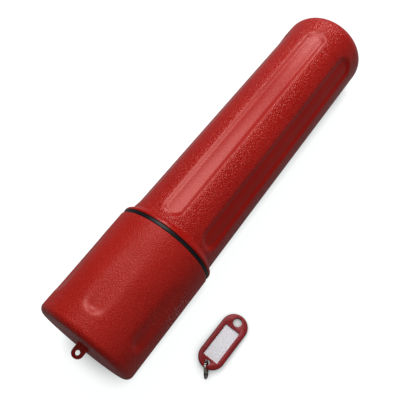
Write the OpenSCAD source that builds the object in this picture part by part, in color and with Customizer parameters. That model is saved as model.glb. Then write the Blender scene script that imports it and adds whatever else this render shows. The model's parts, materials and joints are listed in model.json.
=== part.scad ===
// Screw-cap storage canister for welding electrodes, lying on its side,
// with the identification tag and split ring that belong to it lying beside it.
// The canister is drawn along X, with the mouth of its cap at x = 0 and the
// rounded closed end at +X. lying() then lays it on the floor.

/* [Canister tube] */
// Outer radius of the tube beside the collar
tube_r = 43; // [34:0.1:60]
// Narrowing of the tube's radius from the collar to its closed end
tube_taper = 1.9; // [0:0.1:4]
// Distance from the mouth of the cap to the tip of the closed end
tube_reach = 289.8; // [220:0.1:350]
// Radius of the rounded edge of the closed end
tube_round = 18; // [8:0.5:26]
// Wall of the tube
tube_wall = 2.5; // [1.5:0.1:3]

/* [Collar and neck] */
// Step from the cap's rim in to the collar that stops it
collar_step = 0.3; // [0:0.1:1]
// Length of the straight part of the collar
collar_land = 2.2; // [1:0.1:5]
// Length of the cone that leads from the collar down to the tube
collar_cone = 4; // [2:0.1:8]
// Step from the tube in to the neck under its thread
neck_step = 0.6; // [0:0.1:3]
// Length of the neck from the collar to its open end
neck_l = 27.8; // [22:0.1:40]
// Wall of the neck
neck_wall = 2.8; // [1.5:0.1:4]
// Step from the thread's crest out to the thick root of the neck, which centres the seal
neck_root_step = 0.2; // [0.1:0.05:0.5]
// Length of the neck's thick root past the seal's skirt
neck_root_past = 0.1; // [0:0.05:0.2]

/* [Thread] */
// Advance of the cap in one turn
lead = 10; // [8:0.5:14]
// Height of the thread on the neck
thread_h = 1.5; // [1:0.1:1.6]
// Width of a thread ridge at its root
thread_root_w = 3.2; // [2.4:0.1:3.4]
// Width of a thread ridge at its crest
thread_crest_w = 1.6; // [1:0.1:2]
// Plain end of the neck before its thread starts
thread_inset = 2.6; // [2:0.1:6]
// Plain part of the neck between the end of its thread and its root
thread_runout = 4.4; // [4:0.1:8]
// Length along the axis by which the cap's thread is shorter than the neck's
thread_short = 3; // [2:0.1:6]
// Gap between the crest of the neck's thread and the cap
neck_crest_gap = 0.4; // [0.3:0.05:0.6]
// Gap between the crest of the cap's thread and the neck
cap_crest_gap = 0.5; // [0.3:0.05:0.6]
// Gap along the axis between the flanks of the two threads
thread_slack = 0.2; // [0.1:0.05:0.6]

/* [Cap] */
// Wall of the cap round its thread
cap_mouth_wall = 3.2; // [2.6:0.1:5]
// Narrowing of the cap's radius from its mouth to its closed end
cap_taper = 0.17; // [0:0.01:1]
// Length of the cap
cap_l = 106; // [80:1:150]
// Radius of the edge of the cap's closed end
cap_round = 6; // [4:0.5:10]
// Wall of the cap
cap_wall = 2.6; // [2:0.1:3]
// Depth of the counterbore that holds the seal
seal_seat_l = 3.4; // [3:0.1:4]

/* [Seal] */
// Thickness of the seal between the cap and the collar
seal_t = 3.6; // [2.5:0.1:5]
// Step from the cap's rim in to the seal's flange
seal_step = 0.6; // [0.3:0.1:1]
// Wall of the seal's skirt inside the cap
skirt_wall = 0.9; // [0.6:0.1:1]
// Gap between the seal's skirt and the floor of the counterbore
skirt_gap = 0.5; // [0.3:0.05:1]
// Gap at each face of the seal
seal_gap = 0.1; // [0.05:0.05:0.3]
// Gap round the seal, to the neck inside it and to the cap outside it
seal_play = 0.3; // [0.2:0.05:0.5]

/* [Flutes] */
// Number of flutes round the tube and round the cap
flutes = 6; // [4:1:6]
// Turn of the tube's first flute from straight up
tube_flute_turn = -3.7; // [-30:0.1:30]
// Turn of the cap's first flute from straight up
cap_flute_turn = 0; // [-30:0.1:30]
// Depth of a flute on the tube at its middle
tube_flute_depth = 1.7; // [1:0.1:2.5]
// Depth of a flute on the cap at its middle
cap_flute_depth = 1.3; // [1:0.1:2.5]
// Width of a flute on the tube
tube_flute_w = 18.6; // [12:0.1:20]
// Plain part of the tube between the collar's cone and the flutes
tube_flute_start = 5.8; // [4:0.1:30]
// Plain part of the tube between its flutes and its rounded edge
tube_flute_end = 12.8; // [8:0.1:40]
// Width of a flute on the cap
cap_flute_w = 17; // [12:0.1:20]
// Distance from the end of the neck to the cap's flutes
cap_flute_start = 3; // [2.5:0.1:15]
// Plain part of the cap between its flutes and its closed end
cap_flute_end = 20.5; // [12:0.5:40]

/* [Hanging lug] */
// Radius of the lug's round end
lug_r = 5.2; // [4:0.1:8]
// Radius of the lug's eye
lug_eye_r = 2.2; // [1.5:0.1:3]
// Distance from the cap's end to the eye
lug_reach = 6.5; // [5:0.1:12]
// Thickness of the lug
lug_t = 3.5; // [2.5:0.1:5]
// Radius of the fillets at the root of the lug
lug_fillet = 2.5; // [1:0.1:4]
// Turn of the lug's flat face from straight up
lug_turn = 26.3; // [-90:0.1:90]

/* [Identification tag] */
// Length of the tag
tag_l = 57.5; // [50:0.1:70]
// Width of the tag
tag_w = 24.6; // [22:0.1:30]
// Thickness of the tag
tag_t = 3; // [2.5:0.1:4]
// Depth of the label recess
recess_d = 1.7; // [1.6:0.1:2]
// Web between the label recess and the tag's long edges
recess_side_web = 4.65; // [3:0.05:6]
// Web between the label recess and the large hole
recess_hole_web = 3; // [2:0.1:5]
// Web between the label recess and the eye
recess_eye_web = 1.55; // [1.5:0.05:4]
// Radius of the large hole
tag_hole_r = 4.15; // [3:0.05:4.5]
// Distance from the tag's end to the middle of the large hole
tag_hole_in = 7.2; // [6.5:0.1:7.5]
// Room in the eye round the two coils of the ring
eye_room = 1.475; // [1:0.025:2]
// Web between the eye and the tag's end
eye_web = 2.6; // [2:0.1:3]
// Thickness of the paper label
card_t = 0.3; // [0.2:0.05:0.4]
// Thickness of the clear window
window_t = 1.2; // [0.8:0.05:1.25]
// Gap round the label and round the window
tag_fit = 0.1; // [0.1:0.05:0.3]

/* [Split ring] */
// Outer radius of the ring
ring_r = 8.4; // [7:0.1:10]
// Diameter of the ring's wire
wire_d = 1.2; // [1:0.05:1.3]
// Depth by which the ring's two coils are drawn into each other
coil_merge = 0.15; // [0.1:0.05:0.3]
// Heading of the ring's plane from the canister's length
ring_heading = 33; // [10:1:60]
// Lean of the ring from upright, away from the label
ring_lean = 7; // [0:1:10]

/* [Where the tag lies] */
// Distance of the tag's middle from the mouth of the cap
tag_x = -27.2; // [-60:0.1:200]
// Distance of the tag's near edge from the canister's side
tag_away = 25.7; // [16:0.1:60]
// Turn of the tag on the floor
tag_yaw = -2; // [-20:1:20]
// Slope of the tag, which leans on its ring
tag_slope = 3; // [0:0.5:5]

/* [Hidden] */
$fn = 96;
join = 1;                 // depth by which joined shapes enter each other
sunk = 0.4;               // depth by which a thread's root enters its wall
thread_steps = 36;        // sections in one turn of thread
thread_fade = 4;          // sections over which a thread rises and falls
clear_over = 30;          // a height that clears everything above a cut

collar_x = seal_t + 2 * seal_gap;
cone_x = collar_x + collar_land;
tube_x = cone_x + collar_cone;
neck_x = collar_x - neck_l;
round_x = tube_reach - tube_round;
cap_round_x = cap_round - cap_l;
tube_end_r = tube_r - tube_taper;
neck_r = tube_r - neck_step;
mouth_r = neck_r - neck_wall;

thread_r = neck_r + thread_h;
cap_bore_r = thread_r + neck_crest_gap;
cap_crest_r = neck_r + cap_crest_gap;
cap_r = cap_bore_r + cap_mouth_wall;
cap_end_r = cap_r - cap_taper;
collar_r = cap_r - collar_step;

neck_root_r = thread_r + neck_root_step;
skirt_in_r = neck_root_r + seal_play;
seal_seat_r = skirt_in_r + skirt_wall + seal_play;
seal_r = cap_r - seal_step;
skirt_x = skirt_gap - seal_seat_l;
root_x = skirt_x - neck_root_past;

thread_x = neck_x + thread_inset;
thread_seat = (thread_root_w + thread_crest_w) / 2 + thread_slack;
neck_thread_l = root_x - thread_runout - thread_x;
neck_turns = neck_thread_l / lead;
cap_turns = (neck_thread_l - thread_short) / lead;

flute_pitch = 360 / flutes;
tube_draft = atan(tube_taper / (round_x - tube_x));
tube_flute_x = tube_x + tube_flute_start;
tube_flute_l = round_x - tube_flute_end - tube_flute_x;
cap_draft = atan(cap_taper / cap_l);
cap_flute_l = cap_l - cap_flute_end - cap_flute_start + neck_x;

// The canister rests on the rim of its cap and on the rounded edge of its
// closed end, so its axis slopes down a little towards that end.
edge_drop = tube_end_r - tube_round - cap_r;
rest_slope = asin(-tube_round / norm([round_x, edge_drop])) - atan2(edge_drop, round_x);
axis_height = cap_r * cos(rest_slope);

// The origin lies on the floor, at the middle of the whole set.
reach_high = round_x * cos(rest_slope) + (tube_end_r - tube_round) * sin(rest_slope) + tube_round;
reach_low = -(cap_l + lug_reach) * cos(rest_slope) - lug_r;
tag_y = -cap_r - tag_away - tag_w / 2;
tag_side = tag_y - tag_w / 2 - abs(sin(tag_yaw)) * (tag_l - tag_w) / 2;
middle_x = (reach_high + reach_low) / 2;
middle_y = (cap_r + tag_side) / 2;

coil_pitch = wire_d - coil_merge;
tag_eye_r = (coil_pitch + wire_d) / 2 + eye_room;
hole_u = tag_l / 2 - tag_hole_in;
eye_u = tag_eye_r + eye_web - tag_l / 2;
recess_high = hole_u - tag_hole_r - recess_hole_web;
recess_low = eye_u + tag_eye_r + recess_eye_web;
recess_w = tag_w - 2 * recess_side_web;
window_z = tag_t - recess_d + card_t + tag_fit / 2;
ring_mid_r = ring_r - wire_d / 2;
eye_back = tag_l / 2 - eye_u;
eye_x = tag_x + (tag_l / 2 - eye_back * cos(tag_slope)) * cos(tag_yaw);
eye_y = tag_y + (tag_l / 2 - eye_back * cos(tag_slope)) * sin(tag_yaw);
eye_z = eye_back * sin(tag_slope) + tag_t / 2;

// The ring leans about a line through the eye, with its lower coil on the floor.
ring_height = ring_mid_r * cos(ring_lean) + coil_pitch / 2 * sin(ring_lean) + wire_d / 2;
ring_drop = (ring_height - eye_z) / cos(ring_lean);
ring_back = sqrt(pow(ring_mid_r, 2) - pow(ring_drop, 2));

// Lays what is drawn along X down on the floor, as the canister rests.
module lying() {
    translate([-middle_x, -middle_y, axis_height]) rotate([0, rest_slope, 0]) children();
}

// Lays what is drawn flat, with its middle at the origin, where the tag lies.
module tag_place() {
    translate([tag_x - middle_x, tag_y - middle_y, 0])
        rotate([0, 0, tag_yaw])
            translate([tag_l / 2, 0, 0])
                rotate([0, tag_slope, 0])
                    translate([-tag_l / 2, 0, 0]) children();
}

// Turns an outline of radius and length into a solid round the X axis.
module round_x_axis() {
    rotate([0, 90, 0]) rotate_extrude() children();
}

// A bar with round ends that starts at x = 0.
module bar(length, width) {
    union() {
        translate([width / 2, -width / 2]) square([length - width, width]);
        translate([width / 2, 0]) circle(d = width);
        translate([length - width / 2, 0]) circle(d = width);
    }
}

// One flat-floored block over a flute, from its floor outwards.
module flute_block(x, length, width, floor_r, draft) {
    translate([x, 0, floor_r]) rotate([0, draft, 0]) linear_extrude(clear_over) bar(length, width);
}

// Blocks over all the flutes of a piece. grow widens and deepens them by a wall.
module flute_blocks(turn, x, length, width, floor_r, draft, grow) {
    for (i = [0 : flutes - 1])
        rotate([turn + i * flute_pitch, 0, 0])
            flute_block(x - grow, length + 2 * grow, width + 2 * grow, floor_r - grow, draft);
}

// One corner of a thread's section: its radius and its place along X.
function ridge_corner(r, x, turn) = [x, -r * sin(turn), r * cos(turn)];

// A helical ridge. Its crest stands outside its root on a neck, and inside it in a cap.
module thread_ridge(root_r, crest_r, x, turns) {
    steps = round(turns * thread_steps);
    function rise(i) = min(1, (i + 0.5) / thread_fade, (steps - i + 0.5) / thread_fade);
    function crest(i) = root_r + (crest_r - root_r) * rise(i);
    function place(i) = x + lead * i / thread_steps;
    function turn(i) = 360 * i / thread_steps;
    points = [for (i = [0 : steps]) each [
        ridge_corner(root_r, place(i) - thread_root_w / 2, turn(i)),
        ridge_corner(crest(i), place(i) - thread_crest_w / 2, turn(i)),
        ridge_corner(crest(i), place(i) + thread_crest_w / 2, turn(i)),
        ridge_corner(root_r, place(i) + thread_root_w / 2, turn(i)),
    ]];
    outward = crest_r > root_r;
    side = [for (i = [0 : steps - 1]) for (k = [0 : 3]) for (half = [0, 1])
        let (a = 4 * i + k, b = 4 * i + (k + 1) % 4)
            half == 0 ? [a, b, b + 4] : [a, b + 4, a + 4]];
    ends = [[0, 2, 1], [0, 3, 2], [4 * steps, 4 * steps + 1, 4 * steps + 2],
        [4 * steps, 4 * steps + 2, 4 * steps + 3]];
    faces = concat(side, ends);
    polyhedron(points, outward ? faces : [for (f = faces) [f[0], f[2], f[1]]]);
}

// Outline of the neck, collar and tube, as radius and length.
module tube_outline() {
    union() {
        polygon([
            [0, neck_x],
            [neck_r, neck_x],
            [neck_r, root_x],
            [neck_root_r, root_x],
            [neck_root_r, collar_x],
            [collar_r, collar_x],
            [collar_r, cone_x],
            [tube_r, tube_x],
            [tube_end_r, round_x],
            [tube_end_r - tube_round, tube_reach],
            [0, tube_reach],
        ]);
        translate([tube_end_r - tube_round, round_x]) circle(tube_round);
    }
}

// Outline of the space inside the neck and tube.
module tube_inside() {
    inner_end_r = tube_end_r - tube_wall;
    inner_round = tube_round - tube_wall;
    union() {
        polygon([
            [0, neck_x - join],
            [mouth_r, neck_x - join],
            [mouth_r, tube_x],
            [tube_r - tube_wall, tube_x + collar_cone],
            [inner_end_r, round_x],
            [inner_end_r - inner_round, tube_reach - tube_wall],
            [0, tube_reach - tube_wall],
        ]);
        translate([inner_end_r - inner_round, round_x]) circle(inner_round);
    }
}

// Blocks over the tube's flutes. grow widens and deepens them by a wall.
module tube_flutes(grow) {
    flute_blocks(tube_flute_turn, tube_flute_x, tube_flute_l, tube_flute_w,
        tube_r - tube_flute_depth, tube_draft, grow);
}

module canister_body() {
    color("firebrick") lying() difference() {
        union() {
            round_x_axis() tube_outline();
            thread_ridge(neck_r - sunk, thread_r, thread_x, neck_turns);
        }
        tube_flutes(0);
        difference() {
            round_x_axis() tube_inside();
            tube_flutes(tube_wall);
        }
    }
}

// Outline of the cap, as radius and length.
module cap_outline() {
    union() {
        polygon([
            [0, 0],
            [cap_r, 0],
            [cap_end_r, cap_round_x],
            [cap_end_r - cap_round, -cap_l],
            [0, -cap_l],
        ]);
        translate([cap_end_r - cap_round, cap_round_x]) circle(cap_round);
    }
}

// Outline of the space inside the cap.
module cap_inside() {
    inner_end_r = cap_end_r - cap_wall;
    inner_round = cap_round - cap_wall;
    union() {
        polygon([
            [0, join],
            [seal_seat_r, join],
            [seal_seat_r, -seal_seat_l],
            [cap_bore_r, -seal_seat_l],
            [cap_bore_r, neck_x],
            [inner_end_r, neck_x - join],
            [inner_end_r, cap_round_x],
            [inner_end_r - inner_round, cap_wall - cap_l],
            [0, cap_wall - cap_l],
        ]);
        translate([inner_end_r - inner_round, cap_round_x]) circle(inner_round);
    }
}

// The flat lug at the middle of the cap's end, with its root at x = 0.
module lug() {
    rotate([lug_turn, 0, 0]) difference() {
        translate([0, 0, -lug_t / 2]) linear_extrude(lug_t) union() {
            translate([-lug_reach, 0]) circle(lug_r);
            translate([-lug_reach, -lug_r]) square([lug_reach + join, 2 * lug_r]);
            for (side = [-1, 1]) difference() {
                translate([-lug_fillet, side * (lug_r + lug_fillet / 2) - lug_fillet / 2])
                    square([lug_fillet + join, lug_fillet]);
                translate([-lug_fillet, side * (lug_r + lug_fillet)]) circle(lug_fillet);
            }
        }
        translate([-lug_reach, 0, -lug_t]) cylinder(r = lug_eye_r, h = 2 * lug_t);
    }
}

// Blocks over the cap's flutes. grow widens and deepens them by a wall.
module cap_flutes(grow) {
    flute_blocks(cap_flute_turn, cap_flute_end - cap_l, cap_flute_l, cap_flute_w,
        cap_end_r - cap_flute_depth, -cap_draft, grow);
}

module cap() {
    color("firebrick") lying() union() {
        difference() {
            round_x_axis() cap_outline();
            cap_flutes(0);
            difference() {
                round_x_axis() cap_inside();
                cap_flutes(cap_wall);
            }
        }
        thread_ridge(cap_bore_r + sunk, cap_crest_r, thread_x + thread_seat, cap_turns);
        translate([-cap_l, 0, 0]) lug();
    }
}

module gasket() {
    color("black") lying() round_x_axis() polygon([
        [skirt_in_r, skirt_x],
        [skirt_in_r + skirt_wall, skirt_x],
        [skirt_in_r + skirt_wall, seal_gap],
        [seal_r, seal_gap],
        [seal_r, collar_x - seal_gap],
        [skirt_in_r, collar_x - seal_gap],
    ]);
}

// A flat block that fills the label recess but for a gap at its sides.
module recess_block(gap, z, height) {
    translate([recess_low + gap, gap - recess_w / 2, z])
        cube([recess_high - recess_low - 2 * gap, recess_w - 2 * gap, height]);
}

module tag_frame() {
    color("brown") tag_place() difference() {
        translate([-tag_l / 2, 0, 0]) linear_extrude(tag_t) bar(tag_l, tag_w);
        recess_block(0, tag_t - recess_d, tag_t);
        translate([hole_u, 0, -join]) cylinder(r = tag_hole_r, h = tag_t + 2 * join);
        translate([eye_u, 0, -join]) cylinder(r = tag_eye_r, h = tag_t + 2 * join);
    }
}

module label_card() {
    color("gainsboro") tag_place() recess_block(2 * tag_fit, tag_t - recess_d, card_t);
}

module label_window() {
    color("white", 0.4) tag_place() recess_block(tag_fit, window_z, window_t);
}

// The ring stands on the floor and passes through the tag's eye.
module split_ring() {
    color("silver") translate([eye_x - middle_x, eye_y - middle_y, eye_z])
        rotate([0, 0, ring_heading]) rotate([-ring_lean, 0, 0])
            translate([-ring_back, 0, ring_drop])
                rotate([90, 0, 0]) rotate_extrude() union() {
                    for (side = [-1, 1])
                        translate([ring_mid_r, side * coil_pitch / 2]) circle(d = wire_d);
                }
}

canister_body();
cap();
gasket();
tag_frame();
label_card();
label_window();
split_ring();
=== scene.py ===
"""A red screw-cap canister for welding electrodes, lying beside its identification tag.

Every length is in metres. The canister's pieces are turned round the X axis, with the mouth of
the cap at x = 0 and the closed end at +X, and the tag's pieces are made flat. Both are then laid
where the frame has them.
"""

import json
import math

import bpy
from mathutils import Matrix, Vector


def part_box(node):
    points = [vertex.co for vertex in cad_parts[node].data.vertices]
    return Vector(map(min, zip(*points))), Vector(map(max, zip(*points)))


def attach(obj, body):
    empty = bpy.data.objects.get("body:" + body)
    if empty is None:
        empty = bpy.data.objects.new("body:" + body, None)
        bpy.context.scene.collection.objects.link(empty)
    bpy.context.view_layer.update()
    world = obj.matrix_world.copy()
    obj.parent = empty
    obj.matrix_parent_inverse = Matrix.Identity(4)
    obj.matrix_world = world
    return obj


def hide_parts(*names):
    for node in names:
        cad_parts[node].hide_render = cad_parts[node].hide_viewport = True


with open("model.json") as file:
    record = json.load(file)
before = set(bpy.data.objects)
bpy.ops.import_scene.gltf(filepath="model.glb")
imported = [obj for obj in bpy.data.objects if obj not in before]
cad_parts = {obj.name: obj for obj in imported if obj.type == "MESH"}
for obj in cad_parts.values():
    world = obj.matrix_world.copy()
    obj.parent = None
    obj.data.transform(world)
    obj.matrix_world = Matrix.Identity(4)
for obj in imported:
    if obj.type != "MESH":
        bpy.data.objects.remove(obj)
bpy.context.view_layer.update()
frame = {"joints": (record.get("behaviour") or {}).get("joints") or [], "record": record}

joints = {joint["name"]: joint for joint in frame["joints"]}
mounts = {mount["name"]: mount for mount in frame["record"]["mounts"]}


def box_size(node):
    low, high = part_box(node)
    return high - low


# ---------------------------------------------------------------- sizes of the canister

MOUTH = Vector(joints["cap_turn"]["pos_m"])
TOWARDS_END = -Vector(joints["cap_turn"]["axis"])
TUBE_REACH = (Vector(mounts["standing_face"]["pos_m"]) - MOUTH).length
EYE_REACH = (Vector(mounts["lug_eye"]["pos_m"]) - MOUTH).length

CAP_R = box_size("cap").y / 2
SEAL_R = box_size("gasket").y / 2
TUBE_R = CAP_R - 0.0045
TUBE_END_R = TUBE_R - 0.0019
TUBE_ROUND = 0.018
TUBE_WALL = 0.0025
COLLAR_R = CAP_R - 0.0003
COLLAR_X = 0.0038
COLLAR_LAND = 0.0022
COLLAR_CONE = 0.004
NECK_R = TUBE_R - 0.0006
NECK_END_X = COLLAR_X - 0.0278
NECK_WALL = 0.0028
NECK_ROOT_R = NECK_R + 0.0017
NECK_ROOT_X = -0.003

CAP_L = 0.106
CAP_END_R = CAP_R - 0.00017
CAP_ROUND = 0.006
CAP_WALL = 0.0026
CAP_BORE_R = CAP_R - 0.0032
SEAL_SEAT_R = CAP_R - 0.0019
SEAL_SEAT_L = 0.0034
SEAL_IN_R = NECK_ROOT_R + 0.0003
SKIRT_OUT_R = SEAL_IN_R + 0.0009
SKIRT_X = -0.0029
SEAL_GAP = 0.0001

LEAD = 0.010
THREAD_X = NECK_END_X + 0.0026
THREAD_ROOT_HALF = 0.0016
THREAD_CREST_HALF = 0.0008
NECK_THREAD_H = 0.0015
NECK_THREAD_TURNS = 1.4
CAP_THREAD_X = THREAD_X + 0.0026
CAP_THREAD_H = 0.0014
CAP_THREAD_TURNS = 1.1
THREAD_FADE = 0.11

FLUTES = 6
TUBE_FLUTE_TURN = math.radians(-3.7)
CAP_FLUTE_TURN = 0.0
# The slope is how wide a flute's edge is: along its sides, round its start and round its end.
# The fade is the share of its depth that a flute has lost where it ends. The bow is how round
# its floor is: 0 is flat, 1 as round as the wall.
TUBE_FLUTE = {"turn": TUBE_FLUTE_TURN, "start": 0.0158, "end": TUBE_REACH - 0.0308,
              "width": 0.0186, "depth": 0.0020, "side_slope": 0.0070, "start_slope": 0.0054,
              "end_slope": 0.0070, "fade": 0, "bow": 0.45}
CAP_FLUTE = {"turn": CAP_FLUTE_TURN, "start": -0.0855, "end": -0.027, "width": 0.017,
             "depth": 0.0019, "side_slope": 0.0150, "start_slope": 0.0074, "end_slope": 0.0150,
             "fade": 0.65, "bow": 0}

LUG_R = 0.0052
LUG_EYE_R = mounts["lug_eye"]["dims"]["r_mm"] / 1000
LUG_T = 0.0035
LUG_FILLET = 0.0025

ROUND_STEPS = 288       # faces round the canister
COARSE = 0.007          # spacing of the rings where a wall runs straight
FINE = 0.0008           # spacing of the rings across the ends of the flutes
THREAD_FINE = 0.00045   # spacing of the rings along a thread
EDGE = 0.0006           # rounding of the moulded edges


# ---------------------------------------------------------------- modelling by hand

def only(piece):
    """Leaves this piece alone selected and active."""
    bpy.ops.object.select_all(action="DESELECT")
    piece.select_set(True)
    bpy.context.view_layer.objects.active = piece


def start(name):
    """Names the primitive that was just added and opens it for editing, nothing selected."""
    piece = bpy.context.object
    piece.name = name
    piece.data.name = name
    bpy.ops.object.mode_set(mode="EDIT")
    bpy.ops.mesh.select_mode(type="VERT")
    bpy.ops.mesh.select_all(action="DESELECT")
    bpy.ops.object.mode_set(mode="OBJECT")
    return piece


def pick(piece, wanted):
    """Selects the vertices whose place passes the test, and opens the piece for editing."""
    only(piece)
    for vertex in piece.data.vertices:
        vertex.select = wanted(vertex.co)
    for edge in piece.data.edges:
        edge.select = all(piece.data.vertices[i].select for i in edge.vertices)
    for face in piece.data.polygons:
        face.select = all(piece.data.vertices[i].select for i in face.vertices)
    bpy.ops.object.mode_set(mode="EDIT")


def done():
    bpy.ops.object.mode_set(mode="OBJECT")


def chain(name, points):
    """A chain of edges through the points, drawn by extruding one vertex along them."""
    bpy.ops.object.select_all(action="DESELECT")
    bpy.ops.mesh.primitive_plane_add(size=0.001, location=points[0])
    piece = start(name)
    bpy.ops.object.transform_apply(location=True, rotation=True, scale=True)
    bpy.ops.object.mode_set(mode="EDIT")
    bpy.ops.mesh.select_all(action="SELECT")
    bpy.ops.mesh.merge(type="CENTER")
    for here, there in zip(points, points[1:]):
        step = Vector(there) - Vector(here)
        bpy.ops.mesh.extrude_region_move(TRANSFORM_OT_translate={"value": step})
    bpy.ops.object.mode_set(mode="OBJECT")
    return piece


def apply(piece, kind, **settings):
    """Adds a modifier with these settings and applies it."""
    only(piece)
    modifier = piece.modifiers.new(kind.lower(), kind)
    for key, value in settings.items():
        setattr(modifier, key, value)
    bpy.ops.object.modifier_apply(modifier=modifier.name)


def cut(piece, tool, operation="DIFFERENCE"):
    """Cuts the tool out of the piece, or joins it on, and removes the tool."""
    apply(piece, "BOOLEAN", object=tool, operation=operation, solver="EXACT")
    bpy.data.objects.remove(tool)


def lay(piece, place):
    """Moves a piece to its place and leaves its object at the origin."""
    only(piece)
    piece.matrix_world = place @ piece.matrix_world
    bpy.ops.object.transform_apply(location=True, rotation=True, scale=True)


def smooth(piece, angle=32):
    only(piece)
    bpy.ops.object.shade_smooth_by_angle(angle=math.radians(angle))


def bowed(corners, steps=4):
    """Points of an outline whose corners (x, radius, rounding) are rounded off."""
    points = []
    for i, (x, r, rounding) in enumerate(corners):
        corner = Vector((x, r))
        if not rounding or i in (0, len(corners) - 1):
            points.append(corner)
            continue
        before = Vector(corners[i - 1][:2]) - corner
        after = Vector(corners[i + 1][:2]) - corner
        first = corner + before.normalized() * min(rounding, before.length * 0.45)
        last = corner + after.normalized() * min(rounding, after.length * 0.45)
        for k in range(steps + 1):
            t = k / steps
            points.append(first * (1 - t) ** 2 + corner * 2 * t * (1 - t) + last * t ** 2)
    return points


def arc(x, r, radius, first, last, steps=14):
    """Corners along an arc round (x, r), from one angle to another, with 0 towards +X."""
    angles = [math.radians(first + (last - first) * k / steps) for k in range(steps + 1)]
    return [(x + radius * math.cos(a), r + radius * math.sin(a), 0) for a in angles]


def spaced(points, zones):
    """The same outline with more points on its straight runs, closest inside the zones."""
    result = [points[0]]
    for here, there in zip(points, points[1:]):
        stops = {0.0, 1.0}
        run = there.x - here.x
        if abs(run) > COARSE:
            pieces = math.ceil(abs(run) / COARSE)
            stops |= {k / pieces for k in range(1, pieces)}
        for low, high, step in zones:
            inside_low = max(low, min(here.x, there.x))
            inside_high = min(high, max(here.x, there.x))
            if inside_high - inside_low > step:
                pieces = math.ceil((inside_high - inside_low) / step)
                marks = [inside_low + (inside_high - inside_low) * k / pieces for k in range(pieces + 1)]
                stops = {s for s in stops if not inside_low < here.x + run * s < inside_high}
                stops |= {(mark - here.x) / run for mark in marks} | {0.0, 1.0}
        for s in sorted(stops):
            point = here.lerp(there, s)
            if (point - result[-1]).length > 1e-6:
                result.append(point)
    return result


def turned(name, outline):
    """A solid turned round the X axis from an outline of (x, radius) points."""
    piece = chain(name, [(p.x, 0, max(p.y, 0)) for p in outline])
    only(piece)
    bpy.ops.object.mode_set(mode="EDIT")
    bpy.ops.mesh.select_all(action="SELECT")
    bpy.ops.mesh.spin(steps=ROUND_STEPS, angle=math.tau, center=(0, 0, 0), axis=(1, 0, 0))
    bpy.ops.mesh.select_all(action="SELECT")
    bpy.ops.mesh.remove_doubles(threshold=1e-6)
    bpy.ops.mesh.normals_make_consistent(inside=False)
    bpy.ops.mesh.select_all(action="DESELECT")
    bpy.ops.object.mode_set(mode="OBJECT")
    return piece


def press(piece, *reliefs):
    """Raises the surface by each relief's height times its weight, or sinks it if below 0.

    A relief is (name, height, weight of a place). All are weighed before any is pressed, so that
    each reads the piece's plain turned shape.
    """
    for name, height, weight in reliefs:
        group = piece.vertex_groups.new(name=name)
        for vertex in piece.data.vertices:
            amount = weight(vertex.co)
            if amount > 0:
                group.add([vertex.index], amount, "REPLACE")
    for name, height, weight in reliefs:
        apply(piece, "DISPLACE", strength=height, mid_level=0, vertex_group=name)


def keep_mask(piece, name, weight):
    """Stores a value from 0 to 1 at each vertex, which the piece's material reads."""
    attribute = piece.data.attributes.new(name, "FLOAT", "POINT")
    attribute.data.foreach_set("value", [weight(vertex.co) for vertex in piece.data.vertices])


def ease(t):
    t = min(max(t, 0), 1)
    return t * t * (3 - 2 * t)


# ---------------------------------------------------------------- shapes round the canister

def roll_of(place):
    """The angle of a place round the X axis, from straight up."""
    return math.atan2(-place.y, place.z)


def flute_edge(place, land_r, flute):
    """How far inside a flute a place is: 0 on the land, 1 on the flute's floor."""
    pitch = math.tau / FLUTES
    turn = (roll_of(place) - flute["turn"] + pitch / 2) % pitch - pitch / 2
    half = flute["width"] / 2
    before_start = flute["start"] + half - place.x
    along = max(before_start, place.x - flute["end"] + half, 0)
    away = math.hypot(along, land_r * math.sin(turn))
    round_slope = flute["start_slope"] if before_start > 0 else flute["end_slope"]
    share = (along / away) ** 2 if away else 0
    slope = flute["side_slope"] + (round_slope - flute["side_slope"]) * share
    return ease((half - away) / slope + 0.5), turn


def flute_weight(place, land_r, flute):
    """The share of the flutes' full depth at a place."""
    edge, turn = flute_edge(place, land_r, flute)
    if edge == 0:
        return 0
    floor_r = (land_r - flute["depth"]) / math.cos(turn * (1 - flute["bow"]))
    along = (place.x - flute["start"]) / (flute["end"] - flute["start"])
    left = 1 - flute["fade"] * ease(along)
    return edge * left * max(land_r - floor_r, 0) / flute["depth"]


def thread_weight(place, first_x, turns):
    """The share of a thread's full height at a place on a wall."""
    part = (roll_of(place) / math.tau) % 1
    best = 0
    for lap in range(3):
        run = part + lap
        if not 0 <= run <= turns:
            continue
        away = abs(place.x - first_x - LEAD * run)
        flank = (THREAD_ROOT_HALF - away) / (THREAD_ROOT_HALF - THREAD_CREST_HALF)
        end = min(run, turns - run) / THREAD_FADE
        best = max(best, ease(flank) * ease(end))
    return best


def tube_land_r(x):
    """Outer radius of the tube, which narrows a little towards its closed end."""
    low = COLLAR_X + COLLAR_LAND + COLLAR_CONE
    high = TUBE_REACH - TUBE_ROUND
    part = min(max((x - low) / (high - low), 0), 1)
    return TUBE_R + (TUBE_END_R - TUBE_R) * part


def radius_of(place):
    return math.hypot(place.y, place.z)


# ---------------------------------------------------------------- pieces of the canister

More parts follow.
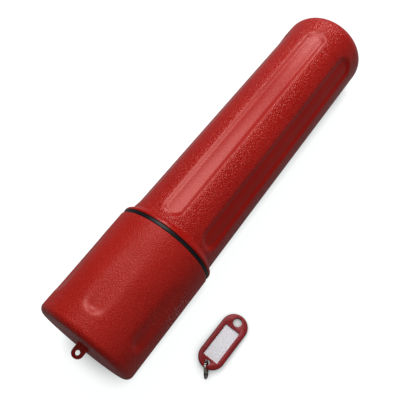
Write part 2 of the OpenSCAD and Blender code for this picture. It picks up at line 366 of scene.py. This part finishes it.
def make_canister_body():
    """Neck with its thread, collar, fluted tube and rounded end, with the wall's inner side."""
    cone_x = COLLAR_X + COLLAR_LAND
    tube_x = cone_x + COLLAR_CONE
    round_x = TUBE_REACH - TUBE_ROUND
    end_r = TUBE_END_R - TUBE_ROUND
    inner_round = TUBE_ROUND - TUBE_WALL
    zones = [
        (TUBE_FLUTE["end"] - 0.012, TUBE_FLUTE["end"] + 0.004, FINE),
        (TUBE_FLUTE["start"] - 0.003, TUBE_FLUTE["start"] + 0.012, FINE),
    ]
    outer = [(TUBE_REACH, 0, 0), (TUBE_REACH, end_r / 2, 0)]
    outer += arc(round_x, end_r, TUBE_ROUND, 0, 90, 18)
    outer += [
        (tube_x, TUBE_R, 0.0012),
        (cone_x, COLLAR_R, 0.0009),
        (COLLAR_X, COLLAR_R, EDGE),
        (COLLAR_X, NECK_ROOT_R, 0),
        (NECK_ROOT_X, NECK_ROOT_R, 0.0004),
        (NECK_ROOT_X, NECK_R, 0),
        (NECK_END_X, NECK_R, EDGE),
        (NECK_END_X, NECK_R - NECK_WALL / 2, 0),
    ]
    inner = [
        (NECK_END_X, NECK_R - NECK_WALL / 2, 0),
        (NECK_END_X, NECK_R - NECK_WALL, EDGE),
        (tube_x, NECK_R - NECK_WALL, 0.001),
        (tube_x + COLLAR_CONE, TUBE_R - TUBE_WALL, 0.001),
    ]
    inner += arc(round_x, end_r, inner_round, 90, 0, 10)
    inner += [(TUBE_REACH - TUBE_WALL, end_r / 2, 0), (TUBE_REACH - TUBE_WALL, 0, 0)]
    thread_zone = (NECK_END_X + EDGE, NECK_ROOT_X - EDGE, THREAD_FINE)
    outline = spaced(bowed(outer), zones + [thread_zone]) + spaced(bowed(inner), zones)[1:]
    body = turned("canister_shell", outline)

    def is_outside(place):
        return radius_of(place) > tube_land_r(place.x) - TUBE_WALL / 2

    def on_tube(place):
        return flute_weight(place, tube_land_r(place.x), TUBE_FLUTE)

    def on_neck(place):
        outside = NECK_R - NECK_WALL / 2 < radius_of(place) < NECK_ROOT_R
        return thread_weight(place, THREAD_X, NECK_THREAD_TURNS) if outside else 0

    def smoothness(place):
        """1 where the mould is polished: in the flutes, on the collar and on the neck."""
        in_flute = flute_edge(place, tube_land_r(place.x), TUBE_FLUTE)[0]
        beside_collar = (tube_x + 0.001 - place.x) / 0.0015
        return max(ease(in_flute * 2.5), ease(beside_collar))

    keep_mask(body, "polished", smoothness)
    press(body,
          ("flutes_outside", -TUBE_FLUTE["depth"], lambda p: on_tube(p) if is_outside(p) else 0),
          ("flutes_inside", TUBE_FLUTE["depth"], lambda p: 0 if is_outside(p) else on_tube(p)),
          ("thread", NECK_THREAD_H, on_neck))
    smooth(body)
    return body


def make_lug():
    """The flat hanging lug, with its eye and the fillets that lead into the cap's end."""
    reach = EYE_REACH - CAP_L
    right = [(-LUG_FILLET + LUG_FILLET * math.sin(a), -LUG_R - LUG_FILLET + LUG_FILLET * math.cos(a))
             for a in [math.radians(90 - 90 * k / 8) for k in range(9)]]
    tip = [(-reach - LUG_R * math.sin(a), -LUG_R * math.cos(a))
           for a in [math.radians(180 * k / 28) for k in range(29)]]
    left = [(x, -y) for x, y in reversed(right)]
    sunk = [(0.0012, left[-1][1]), (0.0012, right[0][1])]
    outline = right + tip + left + sunk
    lug = chain("cap_lug", [(x, y, -LUG_T / 2) for x, y in outline + outline[:1]])
    only(lug)
    bpy.ops.object.mode_set(mode="EDIT")
    bpy.ops.mesh.primitive_circle_add(vertices=40, radius=LUG_EYE_R, location=(-reach, 0, -LUG_T / 2))
    bpy.ops.mesh.select_all(action="SELECT")
    bpy.ops.mesh.remove_doubles(threshold=1e-6)
    bpy.ops.mesh.fill()
    bpy.ops.mesh.select_all(action="SELECT")
    bpy.ops.mesh.extrude_region_move(TRANSFORM_OT_translate={"value": (0, 0, LUG_T)})
    bpy.ops.mesh.select_all(action="SELECT")
    bpy.ops.mesh.normals_make_consistent(inside=False)
    done()
    apply(lug, "BEVEL", width=0.0006, segments=3, limit_method="ANGLE", angle_limit=math.radians(50))
    only(lug)
    bpy.ops.object.mode_set(mode="EDIT")
    heights = [LUG_FILLET * k / 6 for k in range(7)]
    for height in heights:
        bpy.ops.mesh.select_all(action="SELECT")
        bpy.ops.mesh.bisect(plane_co=(-height, 0, 0), plane_no=(1, 0, 0))
    done()
    root = 0.0013
    for vertex in lug.data.vertices:
        height = -vertex.co.x / root
        if height < 1:
            rise = 1 - math.sqrt(1 - (1 - max(height, 0)) ** 2)
            vertex.co.z += math.copysign(root * rise, vertex.co.z) * min(1, abs(vertex.co.z) / 0.001)
    return lug


def make_cap():
    """The screw cap, with its scooped flutes, inner thread, counterbore and hanging lug."""
    end_r = CAP_END_R - CAP_ROUND
    round_x = CAP_ROUND - CAP_L
    inner_end_r = CAP_END_R - CAP_WALL
    zones = [
        (CAP_FLUTE["start"] - 0.005, CAP_FLUTE["start"] + 0.013, FINE),
        (CAP_FLUTE["end"] - 0.013, CAP_FLUTE["end"] + 0.005, FINE * 1.3),
    ]
    outer = [(-CAP_L, 0, 0), (-CAP_L, end_r / 3, 0), (-CAP_L, end_r * 2 / 3, 0)]
    outer += arc(round_x, end_r, CAP_ROUND, 180, 90, 12)
    outer += [(0, CAP_R, EDGE), (0, CAP_R - 0.0009, 0)]
    inner = [
        (0, CAP_R - 0.0009, 0),
        (0, SEAL_SEAT_R, 0.0002),
        (-SEAL_SEAT_L, SEAL_SEAT_R, 0),
        (-SEAL_SEAT_L, CAP_BORE_R, 0.0003),
        (NECK_END_X, CAP_BORE_R, 0),
        (NECK_END_X - 0.001, inner_end_r, 0),
    ]
    inner += arc(round_x, end_r, CAP_ROUND - CAP_WALL, 90, 180, 8)
    inner += [(CAP_WALL - CAP_L, end_r / 2, 0), (CAP_WALL - CAP_L, 0, 0)]
    thread_zone = (NECK_END_X + 0.0004, -SEAL_SEAT_L - 0.0006, THREAD_FINE)
    outline = spaced(bowed(outer), zones) + spaced(bowed(inner), zones + [thread_zone])[1:]
    cap = turned("cap_shell", outline)

    def is_outside(place):
        return radius_of(place) > CAP_R - CAP_WALL / 2

    def on_cap(place):
        return flute_weight(place, CAP_R, CAP_FLUTE)

    def in_bore(place):
        inside = CAP_BORE_R - 0.0002 < radius_of(place) < CAP_BORE_R + 0.0002
        return thread_weight(place, CAP_THREAD_X, CAP_THREAD_TURNS) if inside else 0

    def smoothness(place):
        """1 where the mould is polished: at the deep end of each flute, fading out along it."""
        in_flute = flute_edge(place, CAP_R, CAP_FLUTE)[0]
        deep_end = (CAP_FLUTE["start"] + 0.016 - place.x) / 0.012
        return ease(in_flute * 3) * (0.15 + 0.85 * ease(deep_end))

    keep_mask(cap, "polished", smoothness)
    press(cap,
          ("flutes_outside", -CAP_FLUTE["depth"], lambda p: on_cap(p) if is_outside(p) else 0),
          ("flutes_inside", CAP_FLUTE["depth"], lambda p: 0 if is_outside(p) else on_cap(p)),
          ("thread", CAP_THREAD_H, in_bore))

    lug = make_lug()
    lug_axis = Vector(mounts["lug_eye"]["axis"])
    lug_turn = math.atan2(-lug_axis.y, math.hypot(lug_axis.x, lug_axis.z))
    lay(lug, Matrix.Translation((-CAP_L, 0, 0)) @ Matrix.Rotation(lug_turn, 4, "X"))
    cut(cap, lug, "UNION")
    smooth(cap)
    return cap


def make_gasket():
    """The seal: a flange between cap and collar, and a skirt inside the cap's counterbore."""
    face = COLLAR_X - SEAL_GAP
    outline = bowed([
        (SKIRT_X, (SEAL_IN_R + SKIRT_OUT_R) / 2, 0),
        (SKIRT_X, SKIRT_OUT_R, 0.0002),
        (SEAL_GAP, SKIRT_OUT_R, 0),
        (SEAL_GAP, SEAL_R, 0.0007),
        (face, SEAL_R, 0.0007),
        (face, SEAL_IN_R, 0.0003),
        (SKIRT_X, SEAL_IN_R, 0.0002),
        (SKIRT_X, (SEAL_IN_R + SKIRT_OUT_R) / 2, 0),
    ])
    gasket = turned("seal_ring", outline)
    smooth(gasket, 40)
    return gasket


# ---------------------------------------------------------------- sizes of the tag and its ring

TAG_L = 0.0575
TAG_W = 0.0246
TAG_T = 0.003
TAG_HOLE_R = mounts["tag_hole"]["dims"]["r_mm"] / 1000
TAG_HOLE_X = TAG_L / 2 - 0.0072
TAG_EYE_R = 0.0026
TAG_EYE_X = 0.0052 - TAG_L / 2
RECESS_LOW = TAG_EYE_X + TAG_EYE_R + 0.00155
RECESS_HIGH = TAG_HOLE_X - TAG_HOLE_R - 0.003
RECESS_W = 0.0153
RECESS_D = 0.0017
CARD_T = 0.0003
WINDOW_T = 0.0012
WINDOW_GAP = 0.00005
# Width of the window's pale border band, a painted highlight along its edge
PAINTED_HIGHLIGHT_BAND = 0.0008
TAG_FIT = 0.0001
WIRE_R = 0.0006
COIL_PITCH = 0.00105
RING_ACROSS = Vector(joints["ring_swing"]["axis"])
RING_LEAN = math.asin(-RING_ACROSS.z)
RING_RISE = COIL_PITCH / 2 * math.sin(RING_LEAN) + WIRE_R
RING_MIDDLE_R = (box_size("split_ring").z / 2 - RING_RISE) / math.cos(RING_LEAN)


def slab(name, low_x, high_x, width, low_z, thickness, corner):
    """A flat block along X with rounded upright corners."""
    bpy.ops.object.select_all(action="DESELECT")
    middle = ((low_x + high_x) / 2, 0, low_z + thickness / 2)
    bpy.ops.mesh.primitive_cube_add(size=1, location=middle, scale=(high_x - low_x, width, thickness))
    piece = start(name)
    bpy.ops.object.transform_apply(location=True, rotation=True, scale=True)
    for edge in piece.data.edges:
        ends = [piece.data.vertices[i].co for i in edge.vertices]
        edge.select = abs(ends[0].z - ends[1].z) > thickness / 2
    bpy.ops.object.mode_set(mode="EDIT")
    bpy.ops.mesh.select_mode(type="EDGE")
    bpy.ops.mesh.bevel(offset=corner, segments=4, affect="EDGES")
    done()
    return piece


def drill(x, radius):
    bpy.ops.object.select_all(action="DESELECT")
    bpy.ops.mesh.primitive_cylinder_add(vertices=64, radius=radius, depth=3 * TAG_T, location=(x, 0, TAG_T / 2))
    return start("drill")


def make_tag_frame():
    """The tag's moulded frame: a long round-ended plate with a recess, a hole and an eye."""
    faces = 96
    bpy.ops.object.select_all(action="DESELECT")
    bpy.ops.mesh.primitive_cylinder_add(
        vertices=faces, radius=TAG_W / 2, depth=TAG_T, location=(0, 0, TAG_T / 2),
        rotation=(0, 0, math.pi / faces))
    tag = start("tag_plate")
    bpy.ops.object.transform_apply(location=True, rotation=True, scale=True)
    for side in (-1, 1):
        pick(tag, lambda place: place.x * side > 0)
        bpy.ops.transform.translate(value=(side * (TAG_L - TAG_W) / 2, 0, 0))
        done()
    cut(tag, slab("recess", RECESS_LOW, RECESS_HIGH, RECESS_W, TAG_T - RECESS_D, TAG_T, 0.0005))
    cut(tag, drill(TAG_HOLE_X, TAG_HOLE_R))
    cut(tag, drill(TAG_EYE_X, TAG_EYE_R))

    def rim(place):
        along = max(abs(place.x) - (TAG_L - TAG_W) / 2, 0)
        return math.hypot(along, place.y) > TAG_W / 2 - 0.0002

    weights = tag.data.attributes.new("bevel_weight_edge", "FLOAT", "EDGE")
    for edge in tag.data.edges:
        ends = [tag.data.vertices[i].co for i in edge.vertices]
        if ends[0].z * ends[1].z > 0 or ends[0].z == ends[1].z:
            weights.data[edge.index].value = 1 if all(rim(p) for p in ends) else 0
    apply(tag, "BEVEL", width=0.0009, segments=4, limit_method="WEIGHT")
    apply(tag, "BEVEL", width=0.0003, segments=3, limit_method="ANGLE", angle_limit=math.radians(60))
    smooth(tag, 40)
    return tag


def make_label():
    """The paper label on the floor of the recess."""
    gap = 2 * TAG_FIT
    label = slab("paper_label", RECESS_LOW + gap, RECESS_HIGH - gap, RECESS_W - 2 * gap,
                 TAG_T - RECESS_D, CARD_T, 0.0004)
    apply(label, "BEVEL", width=0.00006, segments=2, limit_method="ANGLE", angle_limit=math.radians(60))
    smooth(label, 40)
    return label


def make_window():
    """The clear window over the label, with a frosted border band whose pale colour is a painted highlight
    along its edge.
    """
    low = TAG_T - RECESS_D + CARD_T + WINDOW_GAP
    window = slab("clear_window", RECESS_LOW + TAG_FIT, RECESS_HIGH - TAG_FIT, RECESS_W - 2 * TAG_FIT,
                  low, WINDOW_T, 0.0004)
    apply(window, "BEVEL", width=0.0004, segments=3, limit_method="ANGLE", angle_limit=math.radians(60))
    top = low + WINDOW_T - 0.00001
    pick(window, lambda place: place.z > top)
    bpy.ops.mesh.inset(thickness=PAINTED_HIGHLIGHT_BAND)
    done()
    clear = max(window.data.polygons, key=lambda face: face.area * face.normal.z)
    for face in window.data.polygons:
        face.material_index = 0 if face == clear or face.normal.z < -0.99 else 1
    smooth(window, 40)
    return window


def make_split_ring():
    """Two coils of one wire, side by side, with a short jog from one to the other."""
    jog = math.radians(34)
    steps = 160
    points = []
    for k in range(steps + 1):
        turn = jog + (2 * math.tau - 2 * jog) * k / steps
        side = ease((turn - math.tau + jog) / (2 * jog)) - 0.5
        points.append((RING_MIDDLE_R * math.cos(turn), RING_MIDDLE_R * math.sin(turn), COIL_PITCH * side))
    ring = chain("wire_ring", points)
    only(ring)
    bpy.ops.object.convert(target="CURVE")
    ring = bpy.context.object
    ring.data.bevel_depth = WIRE_R
    ring.data.bevel_resolution = 5
    ring.data.use_fill_caps = True
    bpy.ops.object.convert(target="MESH")
    ring = bpy.context.object
    only(ring)
    bpy.ops.object.mode_set(mode="EDIT")
    bpy.ops.mesh.select_all(action="SELECT")
    bpy.ops.mesh.remove_doubles(threshold=1e-6)
    bpy.ops.mesh.normals_make_consistent(inside=False)
    done()
    smooth(ring, 50)
    return ring


# ---------------------------------------------------------------- where the pieces lie

def canister_place():
    slope = math.atan2(-TOWARDS_END.z, TOWARDS_END.x)
    return Matrix.Translation(MOUTH) @ Matrix.Rotation(slope, 4, "Y")


def tag_place():
    hole = Vector(mounts["tag_hole"]["pos_m"])
    face = Vector(mounts["tag_hole"]["axis"])
    yaw = math.atan2(face.y, face.x)
    slope = math.atan2(math.hypot(face.x, face.y), face.z)
    turn = Matrix.Rotation(yaw, 4, "Z") @ Matrix.Rotation(slope, 4, "Y")
    return Matrix.Translation(hole) @ turn @ Matrix.Translation((-TAG_HOLE_X, 0, -TAG_T / 2))


def ring_place():
    low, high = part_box("split_ring")
    heading = math.atan2(-RING_ACROSS.x, RING_ACROSS.y)
    leaning = Matrix.Rotation(heading, 4, "Z") @ Matrix.Rotation(-RING_LEAN, 4, "X")
    upright = Matrix.Rotation(math.pi / 2, 4, "X") @ Matrix.Rotation(math.radians(200), 4, "Z")
    return Matrix.Translation((low + high) / 2) @ leaning @ upright


# ---------------------------------------------------------------- finishes

def node_group(name, inputs, outputs):
    """A new shader group with named number inputs and outputs, and its two end nodes."""
    group = bpy.data.node_groups.new(name, "ShaderNodeTree")
    for socket, value in inputs.items():
        kind = "NodeSocketVector" if socket == "Place" else "NodeSocketFloat"
        made = group.interface.new_socket(socket, in_out="INPUT", socket_type=kind)
        if value is not None:
            made.default_value = value
    for socket in outputs:
        group.interface.new_socket(socket, in_out="OUTPUT", socket_type="NodeSocketFloat")
    return group, group.nodes.new("NodeGroupInput"), group.nodes.new("NodeGroupOutput")


def add(tree, kind, links=(), **settings):
    """Adds a node, sets its properties, and fills its inputs with links or plain values."""
    node = tree.nodes.new("ShaderNode" + kind)
    for key, value in settings.items():
        setattr(node, key, value)
    for socket, source in dict(links).items():
        if isinstance(source, bpy.types.NodeSocket):
            tree.links.new(source, node.inputs[socket])
        else:
            node.inputs[socket].default_value = source
    return node


GRAIN_LEVEL = 0.85      # the grain's own mean height, so that a smooth floor lies level with it


def grain_group():
    """Pebbled mould grain: Height for a bump, and a mask of the pebbles' tops, where a lighter painted glint is
    laid on.
    """
    group, given, out = node_group(
        "moulded grain", {"Place": None, "Size": 800.0, "Smooth": 0.0}, ["Height", "Painted Glint"])
    place = given.outputs["Place"]
    pebble = add(group, "TexVoronoi", {"Vector": place, "Scale": given.outputs["Size"], "Randomness": 0.9},
                 feature="SMOOTH_F1")
    pebble.inputs["Smoothness"].default_value = 0.6
    fine_size = add(group, "Math", {0: given.outputs["Size"], 1: 1.9}, operation="MULTIPLY")
    fine = add(group, "TexNoise", {"Vector": place, "Scale": fine_size.outputs[0], "Detail": 2.0})
    top = add(group, "MapRange", {"Value": pebble.outputs["Distance"], "From Min": 0.75, "From Max": 0.15})
    mixed = add(group, "Math", {0: fine.outputs["Fac"], 1: 0.5, 2: top.outputs[0]}, operation="MULTIPLY_ADD")
    keep = add(group, "Math", {0: 1.0, 1: given.outputs["Smooth"]}, operation="SUBTRACT")
    level = add(group, "Math", {0: mixed.outputs[0], 1: GRAIN_LEVEL}, operation="SUBTRACT")
    height = add(group, "Math", {0: level.outputs[0], 1: keep.outputs[0]}, operation="MULTIPLY")
    # Mask of the pebbles' tops for the painted glint: a lighter colour that stands in for light caught on the
    # grain
    painted_glint = add(group, "MapRange", {"Value": mixed.outputs[0], "From Min": 0.85, "From Max": 1.25})
    kept = add(group, "Math", {0: painted_glint.outputs[0], 1: keep.outputs[0]}, operation="MULTIPLY")
    group.links.new(height.outputs[0], out.inputs["Height"])
    group.links.new(kept.outputs[0], out.inputs["Painted Glint"])
    return group


def handling_group():
    """Uneven tone and fine scuffs of a handled surface."""
    group, given, out = node_group(
        "handled surface", {"Place": None, "Size": 14.0, "Scuffs": 0.5}, ["Tone", "Scuff"])
    place = given.outputs["Place"]
    cloud = add(group, "TexNoise", {"Vector": place, "Scale": given.outputs["Size"], "Detail": 3.0})
    tone = add(group, "MapRange", {"Value": cloud.outputs["Fac"], "From Min": 0.32, "From Max": 0.68})
    stretch = add(group, "Mapping", {"Vector": place, "Scale": (18.0, 160.0, 160.0)})
    marks = add(group, "TexNoise", {"Vector": stretch.outputs[0], "Scale": 1.0, "Detail": 4.0})
    sharp = add(group, "MapRange", {"Value": marks.outputs["Fac"], "From Min": 0.62, "From Max": 0.74})
    worn = add(group, "Math", {0: sharp.outputs[0], 1: tone.outputs[0]}, operation="MULTIPLY")
    scuff = add(group, "Math", {0: worn.outputs[0], 1: given.outputs["Scuffs"]}, operation="MULTIPLY")
    group.links.new(tone.outputs[0], out.inputs["Tone"])
    group.links.new(scuff.outputs[0], out.inputs["Scuff"])
    return group


GRAIN = grain_group()
HANDLING = handling_group()


def new_material(name):
    made = bpy.data.materials.new(name)
    made.use_nodes = True
    tree = made.node_tree
    tree.nodes.clear()
    shader = add(tree, "BsdfPrincipled")
    out = add(tree, "OutputMaterial", {"Surface": shader.outputs[0]})
    return made, tree, shader, out


def place_group(tree, group, values):
    node = tree.nodes.new("ShaderNodeGroup")
    node.node_tree = group
    for socket, value in values.items():
        if isinstance(value, bpy.types.NodeSocket):
            tree.links.new(value, node.inputs[socket])
        else:
            node.inputs[socket].default_value = value
    return node


def blend_colours(tree, amount, first, second):
    mix = add(tree, "Mix", data_type="RGBA")
    tree.links.new(amount, mix.inputs["Factor"])
    for socket, value in ((mix.inputs[6], first), (mix.inputs[7], second)):
        if isinstance(value, bpy.types.NodeSocket):
            tree.links.new(value, socket)
        else:
            socket.default_value = (*value, 1)
    return mix.outputs[2]


def canister_plastic(name, grain_size, grain_depth, deep, bright, painted_glint, roughness):
    """Red moulded polyethylene: pebbled lands with a painted glint on the pebbles' tops, smoother flute floors,
    faint scuffs.
    """
    made, tree, shader, out = new_material(name)
    place = add(tree, "TexCoord").outputs["Object"]
    polished = add(tree, "Attribute", attribute_name="polished").outputs["Fac"]
    floors = add(tree, "Math", {0: polished, 1: 0.95}, operation="MULTIPLY")
    grain = place_group(tree, GRAIN, {"Place": place, "Size": grain_size, "Smooth": floors.outputs[0]})
    handled = place_group(tree, HANDLING, {"Place": place, "Size": 16.0, "Scuffs": 0.5})
    toned = blend_colours(tree, handled.outputs["Tone"], deep, bright)
    # The pebbles' tops are painted a lighter red: a painted glint for light caught on the grain, not a colour
    # of the plastic
    with_painted_glint = blend_colours(tree, grain.outputs["Painted Glint"], toned, painted_glint)
    shine = add(tree, "MapRange", {"Value": floors.outputs[0], "To Min": roughness[0], "To Max": roughness[1]})
    scuffed = add(tree, "Math", {0: handled.outputs["Scuff"], 1: 0.12, 2: shine.outputs[0]},
                  operation="MULTIPLY_ADD")
    bump = add(tree, "Bump", {"Height": grain.outputs["Height"], "Strength": 1.0, "Distance": grain_depth})
    tree.links.new(with_painted_glint, shader.inputs["Base Color"])
    tree.links.new(scuffed.outputs[0], shader.inputs["Roughness"])
    tree.links.new(bump.outputs[0], shader.inputs["Normal"])
    shader.inputs["Specular IOR Level"].default_value = 0.45
    shader.inputs["Specular Tint"].default_value = (1, 0.44, 0.40, 1)
    return made


def seal_rubber():
    """Black rubber with a faint bluish sheen."""
    made, tree, shader, out = new_material("seal_rubber")
    place = add(tree, "TexCoord").outputs["Object"]
    handled = place_group(tree, HANDLING, {"Place": place, "Size": 30.0, "Scuffs": 0.8})
    grain = place_group(tree, GRAIN, {"Place": place, "Size": 2600.0})
    toned = blend_colours(tree, handled.outputs["Tone"], (0.0025, 0.0022, 0.0032), (0.007, 0.006, 0.009))
    rough = add(tree, "MapRange", {"Value": handled.outputs["Scuff"], "To Min": 0.42, "To Max": 0.6})
    bump = add(tree, "Bump", {"Height": grain.outputs["Height"], "Strength": 0.4, "Distance": 0.00003})
    tree.links.new(toned, shader.inputs["Base Color"])
    tree.links.new(rough.outputs[0], shader.inputs["Roughness"])
    tree.links.new(bump.outputs[0], shader.inputs["Normal"])
    shader.inputs["Specular IOR Level"].default_value = 0.25
    return made


def tag_plastic():
    """Crimson moulded plastic, smoother and shinier than the canister."""
    made, tree, shader, out = new_material("tag_plastic")
    place = add(tree, "TexCoord").outputs["Object"]
    handled = place_group(tree, HANDLING, {"Place": place, "Size": 60.0, "Scuffs": 0.7})
    grain = place_group(tree, GRAIN, {"Place": place, "Size": 2200.0})
    shader.inputs["Specular IOR Level"].default_value = 0.3
    shader.inputs["Specular Tint"].default_value = (1, 0.45, 0.48, 1)
    toned = blend_colours(tree, handled.outputs["Tone"], (0.20, 0.009, 0.010), (0.26, 0.013, 0.015))
    rough = add(tree, "MapRange", {"Value": handled.outputs["Scuff"], "To Min": 0.30, "To Max": 0.5})
    bump = add(tree, "Bump", {"Height": grain.outputs["Height"], "Strength": 0.5, "Distance": 0.00003})
    tree.links.new(toned, shader.inputs["Base Color"])
    tree.links.new(rough.outputs[0], shader.inputs["Roughness"])
    tree.links.new(bump.outputs[0], shader.inputs["Normal"])
    return made


def label_paper():
    """Pale grey paper with a fine fibre mottle."""
    made, tree, shader, out = new_material("label_paper")
    place = add(tree, "TexCoord").outputs["Object"]
    fibres = add(tree, "TexNoise", {"Vector": place, "Scale": 2400.0, "Detail": 5.0})
    cloud = place_group(tree, HANDLING, {"Place": place, "Size": 90.0, "Scuffs": 0.3})
    toned = blend_colours(tree, cloud.outputs["Tone"], (0.87, 0.86, 0.90), (0.92, 0.91, 0.95))
    bump = add(tree, "Bump", {"Height": fibres.outputs["Fac"], "Strength": 0.3, "Distance": 0.00004})
    tree.links.new(toned, shader.inputs["Base Color"])
    tree.links.new(bump.outputs[0], shader.inputs["Normal"])
    shader.inputs["Roughness"].default_value = 0.85
    return made


def clear_plastic(name, tint, alpha, roughness):
    """Clear moulded plastic, or the window's frosted border band, whose pale colour is a painted highlight."""
    made, tree, shader, out = new_material(name)
    place = add(tree, "TexCoord").outputs["Object"]
    handled = place_group(tree, HANDLING, {"Place": place, "Size": 70.0, "Scuffs": 1.0})
    rough = add(tree, "MapRange",
                {"Value": handled.outputs["Scuff"], "To Min": roughness, "To Max": roughness + 0.2})
    tree.links.new(rough.outputs[0], shader.inputs["Roughness"])
    shader.inputs["Base Color"].default_value = (*tint, 1)
    shader.inputs["Alpha"].default_value = alpha
    return made


def ring_steel():
    """Nickel-plated spring steel, a little worn."""
    made, tree, shader, out = new_material("ring_steel")
    place = add(tree, "TexCoord").outputs["Object"]
    handled = place_group(tree, HANDLING, {"Place": place, "Size": 220.0, "Scuffs": 1.0})
    toned = blend_colours(tree, handled.outputs["Tone"], (0.26, 0.24, 0.22), (0.42, 0.39, 0.36))
    rough = add(tree, "MapRange", {"Value": handled.outputs["Tone"], "To Min": 0.16, "To Max": 0.32})
    tree.links.new(toned, shader.inputs["Base Color"])
    tree.links.new(rough.outputs[0], shader.inputs["Roughness"])
    shader.inputs["Metallic"].default_value = 1
    return made


# ---------------------------------------------------------------- the studio

def make_floor():
    """A pale floor that shows white to the camera, with a painted contact shadow where the objects close it in;
    the lamps' shadows stay in its faint diffuse part.
    """
    bpy.ops.object.select_all(action="DESELECT")
    bpy.ops.mesh.primitive_plane_add(size=12, location=(0, 0, -0.0001))
    floor = start("floor")
    made, tree, shader, out = new_material("floor_paper")
    shader.inputs["Base Color"].default_value = (0.20, 0.20, 0.20, 1)
    shader.inputs["Roughness"].default_value = 0.9
    shader.inputs["Specular IOR Level"].default_value = 0.0
    ray = add(tree, "LightPath")
    seen = add(tree, "Math", {0: ray.outputs["Is Camera Ray"], 1: ray.outputs["Is Transmission Ray"]},
               operation="MAXIMUM")
    # Painted contact shadow: ambient occlusion, leaned to one side, dims the floor's glow next to the objects
    painted_shadow_ao = add(tree, "AmbientOcclusion", {"Distance": 0.018, "Normal": (-0.30, 0.72, 0.62)}, samples=8)
    painted_shadow_level = add(tree, "MapRange", {"Value": painted_shadow_ao.outputs["AO"], "From Min": 0.40, "From Max": 0.96,
                                      "To Min": 0.30, "To Max": 0.97})
    mirrored = add(tree, "Math", {0: ray.outputs["Is Glossy Ray"], 1: 0.12}, operation="MULTIPLY")
    lift = add(tree, "Math", {0: seen.outputs[0], 1: painted_shadow_level.outputs[0], 2: mirrored.outputs[0]},
               operation="MULTIPLY_ADD")
    glow = add(tree, "Emission", {"Color": (0.98, 1, 1, 1), "Strength": lift.outputs[0]})
    both = add(tree, "AddShader", {0: shader.outputs[0], 1: glow.outputs[0]})
    tree.links.new(both.outputs[0], out.inputs["Surface"])
    floor.data.materials.append(made)


def make_lamp(name, direction, distance, size, power, target=(0.0, 0.02, 0.05)):
    """A soft lamp in that direction from the target, facing it."""
    away = Vector(direction).normalized()
    bpy.ops.object.light_add(type="AREA", location=Vector(target) + away * distance)
    lamp = bpy.context.object
    lamp.name = name
    lamp.rotation_euler = away.to_track_quat("Z", "Y").to_euler()
    lamp.data.shape = "RECTANGLE"
    lamp.data.size, lamp.data.size_y = size
    lamp.data.energy = power


def make_world():
    world = bpy.data.worlds.new("studio")
    bpy.context.scene.world = world
    world.use_nodes = True
    tree = world.node_tree
    tree.nodes.clear()
    ray = add(tree, "LightPath")
    dim = add(tree, "Background", {"Color": (1, 1, 1, 1), "Strength": 0.10})
    white = add(tree, "Background", {"Color": (1, 1, 1, 1), "Strength": 1.0})
    mixed = add(tree, "MixShader", {0: ray.outputs["Is Camera Ray"], 1: dim.outputs[0], 2: white.outputs[0]})
    out = tree.nodes.new("ShaderNodeOutputWorld")
    tree.links.new(mixed.outputs[0], out.inputs["Surface"])


def make_camera():
    """A camera high over the canister, turned so that the canister runs up to the right."""
    bpy.ops.object.camera_add(location=(-0.21223, -0.11444, 0.52813))
    camera = bpy.context.object
    right = Vector((0.58886, -0.80814, -0.01239))
    back = Vector((-0.34390, -0.26440, 0.90101))
    camera.rotation_euler = Matrix((right, back.cross(right), back)).transposed().to_euler()
    camera.data.lens = 52.43
    camera.data.sensor_width = 36
    bpy.context.scene.camera = camera


# ---------------------------------------------------------------- putting it together

def fit(piece, place, body, node, slot, *finishes):
    """Lays a piece in its place, gives it its finish and puts it on its body."""
    lay(piece, place)
    piece.data.materials.clear()
    for finish in finishes:
        piece.data.materials.append(finish)
    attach(piece, body)
    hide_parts(node)


# Colours: deep and bright tones of the red, then the lighter red of the painted glint on the pebbles' tops
body_finish = canister_plastic("canister_plastic", 900.0, 0.00032, (0.38, 0.006, 0.004), (0.43, 0.009, 0.005),
                               (0.62, 0.034, 0.026), (0.30, 0.30))
cap_finish = canister_plastic("cap_plastic", 1000.0, 0.00018, (0.39, 0.008, 0.005), (0.44, 0.011, 0.007),
                              (0.58, 0.03, 0.018), (0.42, 0.30))
on_floor = canister_place()
fit(make_canister_body(), on_floor, "canister", "canister_body", "canister_plastic", body_finish)
fit(make_cap(), on_floor, "cap", "cap", "canister_plastic", cap_finish)
fit(make_gasket(), on_floor, "seal", "gasket", "seal_rubber", seal_rubber())
tag_lies = tag_place()
fit(make_tag_frame(), tag_lies, "tag", "tag_frame", "tag_plastic", tag_plastic())
fit(make_label(), tag_lies, "tag", "label_card", "label_paper", label_paper())
# The window's second finish is its pale border band: a painted highlight along the edge
fit(make_window(), tag_lies, "window", "label_window", "clear_plastic",
    clear_plastic("clear_plastic", (0.9, 0.9, 0.92), 0.04, 0.06),
    clear_plastic("window_edge_painted_highlight", (0.95, 0.90, 0.92), 0.80, 0.3))
fit(make_split_ring(), ring_place(), "ring", "split_ring", "ring_steel", ring_steel())

make_floor()
make_world()
make_lamp("softbox", (0.34, 0.30, 0.88), 1.2, (0.6, 0.5), 9.2)
make_lamp("overhead", (-0.05, 0.10, 1.0), 1.4, (1.6, 1.6), 2.0)
make_lamp("side_fill", (-0.1, -0.75, 0.65), 1.5, (1.4, 1.0), 2.4)
make_lamp("back_light", (0.80, 0.28, 0.52), 1.2, (0.26, 0.26), 4.2)
make_camera()
bpy.context.scene.view_settings.view_transform = "Standard"
